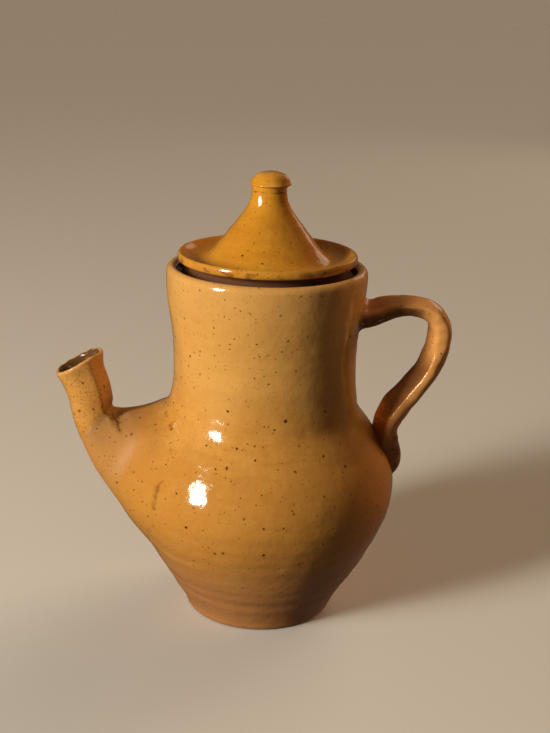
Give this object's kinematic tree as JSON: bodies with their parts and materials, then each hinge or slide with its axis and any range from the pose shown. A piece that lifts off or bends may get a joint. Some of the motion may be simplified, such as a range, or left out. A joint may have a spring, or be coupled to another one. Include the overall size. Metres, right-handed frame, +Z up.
{
  "type": "ceramic teapot",
  "caption": "Wheel-thrown glazed teapot with a tall neck, a bent open spout, a strap handle and a lift-off lid with a hollow cone and a small domed knob.",
  "frame": {"origin": "middle of the flat foot, on the surface that the pot stands on", "axes": "+Z up along the pot's axis, +X towards the handle, -X towards the spout"},
  "size_m": [0.1957, 0.1356, 0.2255],
  "materials": {
    "honey_glaze": "glossy honey glaze with dark iron specks",
    "brown_glaze": "glossy honey-brown glaze, darker where it is thin",
    "ochre_glaze": "glossy yellow-ochre glaze with fine specks"
  },
  "bodies": {
    "pot": {"pot_body": "honey_glaze", "spout": "honey_glaze", "handle": "brown_glaze"},
    "lid": {"lid": "ochre_glaze", "lid_knob": "ochre_glaze"}
  },
  "joints": [
    {"name": "lid_lift", "type": "slide", "parent": "pot", "child": "lid", "axis": [0, 0, 1], "range_m": [0, 0.06]}
  ]
}
